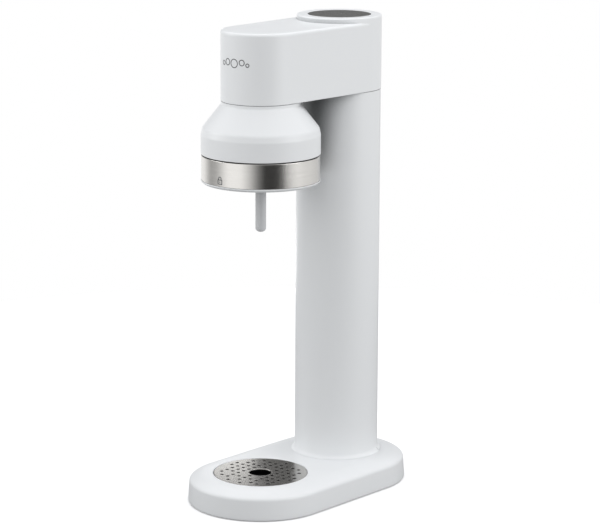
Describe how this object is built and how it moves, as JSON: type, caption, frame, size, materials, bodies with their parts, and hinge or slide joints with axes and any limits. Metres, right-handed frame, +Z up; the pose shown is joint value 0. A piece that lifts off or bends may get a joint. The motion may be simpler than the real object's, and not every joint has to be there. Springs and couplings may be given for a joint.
{
  "type": "soda carbonator",
  "caption": "Table-top soda carbonator: long round-ended foot with a drip tray, a column with the gas bottle inside, and a head with a push button, bell, lock ring and nozzle.",
  "frame": {"origin": "centre of the footprint, on the table under the feet", "axes": "+Z up; the front, with the nozzle and the drip tray, faces -Y; +X is the right side seen from the front"},
  "size_m": [0.13, 0.232, 0.43],
  "materials": {
    "white_plastic": "satin moulded, very light cool white",
    "grey_plastic": "moulded, light grey",
    "nozzle_plastic": "moulded, mid grey",
    "dark_plastic": "moulded, near black",
    "jaw_plastic": "glass-filled nylon, dark grey",
    "rubber": "matt",
    "seal_rubber": "smooth",
    "hose_rubber": "smooth, braided core",
    "brushed_steel": "brushed, slightly warm",
    "screw_steel": "zinc plated",
    "spring_steel": "drawn wire",
    "frame_steel": "galvanised sheet, dull grey",
    "valve_brass": "machined",
    "bottle_aluminium": "satin, seamless",
    "mark_grey": "printed"
  },
  "bodies": {
    "stand": {"base_shell": "white_plastic", "base_plate": "grey_plastic", "rubber_feet": "rubber", "base_screws": "screw_steel", "frame_foot_screws": "screw_steel", "spine_frame": "frame_steel", "column_shell": "white_plastic", "head_shell": "white_plastic", "head_base_plate": "white_plastic", "head_screws": "screw_steel", "bubble_mark": "mark_grey", "bell": "white_plastic", "bell_screws": "screw_steel", "nozzle_holder": "grey_plastic", "mechanism_screws": "screw_steel", "jaw_cage": "grey_plastic", "guard_plate": "grey_plastic", "bottle_seal": "seal_rubber", "carbonating_nozzle": "nozzle_plastic", "nozzle_o_ring": "seal_rubber", "relief_valve_body": "valve_brass", "relief_spring": "spring_steel", "relief_cap": "valve_brass", "gas_hose": "hose_rubber", "hose_ferrules": "valve_brass", "valve_block": "valve_brass", "valve_block_screws": "screw_steel", "pin_seal": "seal_rubber", "button_sleeve": "grey_plastic", "button_sleeve_screws": "screw_steel", "button_spring": "spring_steel"},
    "button": {"button_cap": "brushed_steel", "button_plunger": "grey_plastic", "press_pin": "screw_steel"},
    "lock_ring": {"ring_carrier": "white_plastic", "steel_ring_band": "brushed_steel", "padlock_mark": "mark_grey"},
    "front_jaw": {"jaw_front": "jaw_plastic"},
    "right_jaw": {"jaw_right": "jaw_plastic"},
    "left_jaw": {"jaw_left": "jaw_plastic"},
    "cup": {"drip_cup": "dark_plastic"},
    "grid": {"drip_grid": "brushed_steel"},
    "back_cover": {"rear_cover": "white_plastic"},
    "seal": {"socket_seal": "seal_rubber"},
    "gas": {"gas_bottle": "bottle_aluminium", "gas_bottle_valve": "valve_brass", "burst_plug": "screw_steel"},
    "pin": {"valve_pin": "screw_steel"},
    "poppet": {"relief_poppet": "screw_steel"}
  },
  "joints": [
    {"name": "button_press", "type": "slide", "parent": "stand", "child": "button", "axis": [0, 0, -1], "range_m": [0, 0.004], "stiffness_N_per_m": 1800, "springref_m": -0.003, "deforming": ["button_spring"]},
    {"name": "ring_turn", "type": "hinge", "parent": "stand", "child": "lock_ring", "pos_m": [0, -0.051, 0.305], "axis": [0, 0, 1], "range_deg": [0, 60]},
    {"name": "front_jaw_slide", "type": "slide", "parent": "stand", "child": "front_jaw", "axis": [0, -1, 0], "range_m": [0, 0.0042]},
    {"name": "right_jaw_slide", "type": "slide", "parent": "stand", "child": "right_jaw", "axis": [0.866, 0.5, 0], "range_m": [0, 0.0042]},
    {"name": "left_jaw_slide", "type": "slide", "parent": "stand", "child": "left_jaw", "axis": [-0.866, 0.5, 0], "range_m": [0, 0.0042]},
    {"name": "cup_lift", "type": "slide", "parent": "stand", "child": "cup", "axis": [0, 0, 1], "range_m": [0, 0.06]},
    {"name": "grid_lift", "type": "slide", "parent": "cup", "child": "grid", "axis": [0, 0, 1], "range_m": [0, 0.04]},
    {"name": "cover_pull", "type": "slide", "parent": "stand", "child": "back_cover", "axis": [0, 1, 0], "range_m": [0, 0.12]},
    {"name": "bottle_unscrew", "type": "hinge", "parent": "stand", "child": "seal", "pos_m": [0, 0.053, 0.372], "axis": [0, 0, -1], "range_deg": [0, 900]},
    {"name": "bottle_drop", "type": "slide", "parent": "seal", "child": "gas", "axis": [0, 0, -1], "range_m": [0, 0.0101]},
    {"name": "pin_press", "type": "slide", "parent": "gas", "child": "pin", "axis": [0, 0, -1], "range_m": [0, 0.0041]},
    {"name": "relief_lift", "type": "slide", "parent": "stand", "child": "poppet", "axis": [0, 0, 1], "range_m": [0, 0.001], "stiffness_N_per_m": 2000, "springref_m": -0.002, "deforming": ["relief_spring"]}
  ],
  "couplings": [
    {"joint": "front_jaw_slide", "follows": "ring_turn", "m_per_rad": 0.00401},
    {"joint": "right_jaw_slide", "follows": "ring_turn", "m_per_rad": 0.00401},
    {"joint": "left_jaw_slide", "follows": "ring_turn", "m_per_rad": 0.00401},
    {"joint": "bottle_drop", "follows": "bottle_unscrew", "m_per_rad": 0.00063662},
    {"joint": "pin_press", "follows": "button_press", "ratio": 1}
  ]
}
